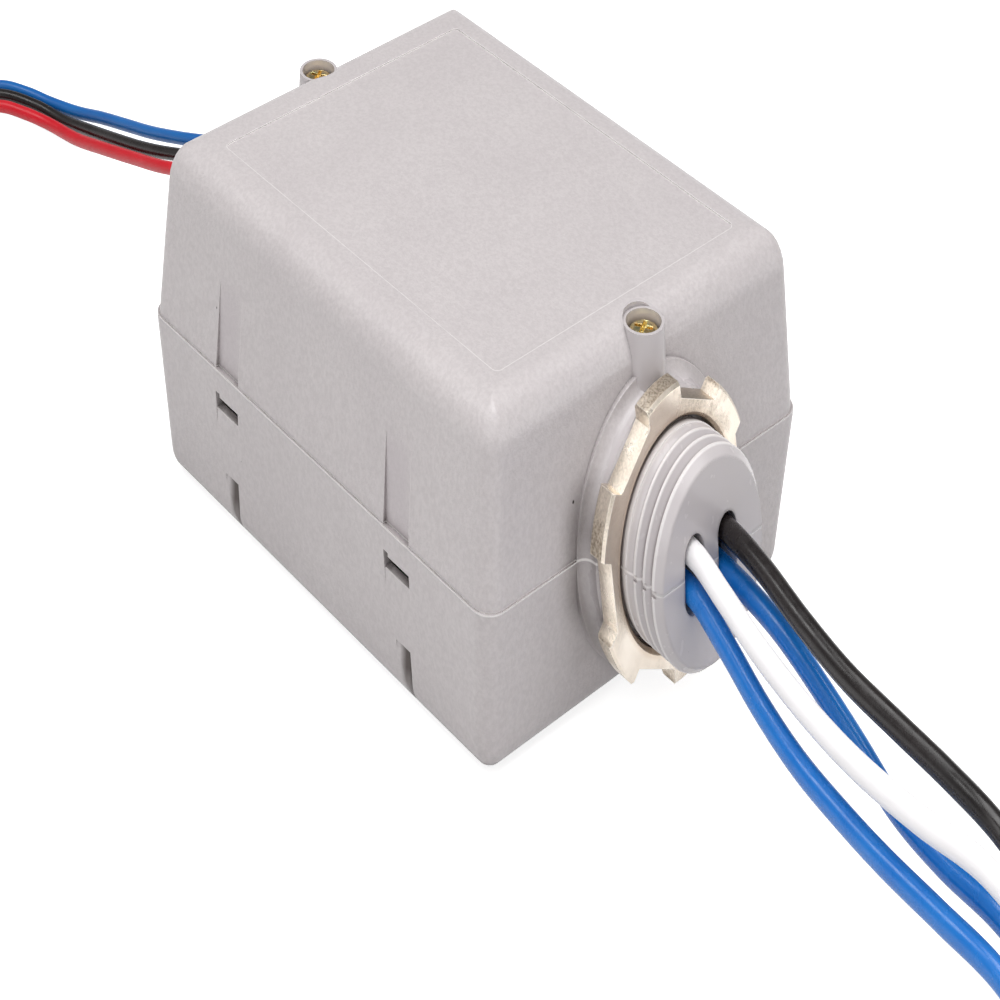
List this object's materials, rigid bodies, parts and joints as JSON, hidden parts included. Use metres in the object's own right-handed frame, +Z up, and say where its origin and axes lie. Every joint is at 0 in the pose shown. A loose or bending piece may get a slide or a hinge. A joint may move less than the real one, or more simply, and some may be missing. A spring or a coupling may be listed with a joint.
{
  "type": "occupancy sensor power pack",
  "caption": "Rectangular moulded clamshell power pack with a threaded nipple, lugged locknut, snap latches, recessed screws and free stripped leads at both ends.",
  "frame": {"origin": "middle of the flat base, on the surface it rests on", "axes": "+X out of the threaded nipple along its axis, +Z up, the parting plane at z = 0.017 m"},
  "size_m": [0.2874, 0.0811, 0.0364],
  "materials": {
    "housing": "satin moulded, warm light grey",
    "nut_plating": "bright plated, grainy rim",
    "screw_plating": "yellow plated",
    "board": "green laminate",
    "core_steel": "varnished laminations",
    "black_plastic": "moulded",
    "winding_tape": "amber tape over copper",
    "sleeve_plastic": "nylon",
    "varistor_coat": "dipped epoxy",
    "can_sleeve": "shrunk sleeve",
    "resistor_coat": "lacquered",
    "black_insulation": "extruded, glossy",
    "white_insulation": "extruded, glossy",
    "load_blue_insulation": "extruded, glossy",
    "sensor_blue_insulation": "extruded, glossy",
    "red_insulation": "extruded, glossy",
    "copper": "bare twisted strands"
  },
  "bodies": {
    "root": {"upper_shell": "housing", "lower_shell": "housing", "locknut": "nut_plating", "front_screw": "screw_plating", "rear_screw": "screw_plating", "circuit_board": "board", "transformer_core": "core_steel", "transformer_bobbin": "black_plastic", "primary_winding": "winding_tape", "secondary_winding": "winding_tape", "relay": "black_plastic", "tab_sleeves": "sleeve_plastic", "varistor": "varistor_coat", "filter_capacitor": "can_sleeve", "output_capacitor": "can_sleeve", "rectifier_diodes": "black_plastic", "voltage_regulator": "black_plastic", "driver_transistor": "black_plastic", "flyback_diode": "black_plastic", "resistors": "resistor_coat", "mains_black_lead": "black_insulation", "mains_white_lead": "white_insulation", "load_blue_lead_left": "load_blue_insulation", "load_blue_lead_right": "load_blue_insulation", "sensor_blue_lead": "sensor_blue_insulation", "sensor_black_lead": "black_insulation", "sensor_red_lead": "red_insulation", "mains_black_strands": "copper", "mains_white_strands": "copper", "load_left_strands": "copper", "load_right_strands": "copper", "sensor_blue_strands": "copper", "sensor_black_strands": "copper", "sensor_red_strands": "copper"}
  },
  "joints": []
}
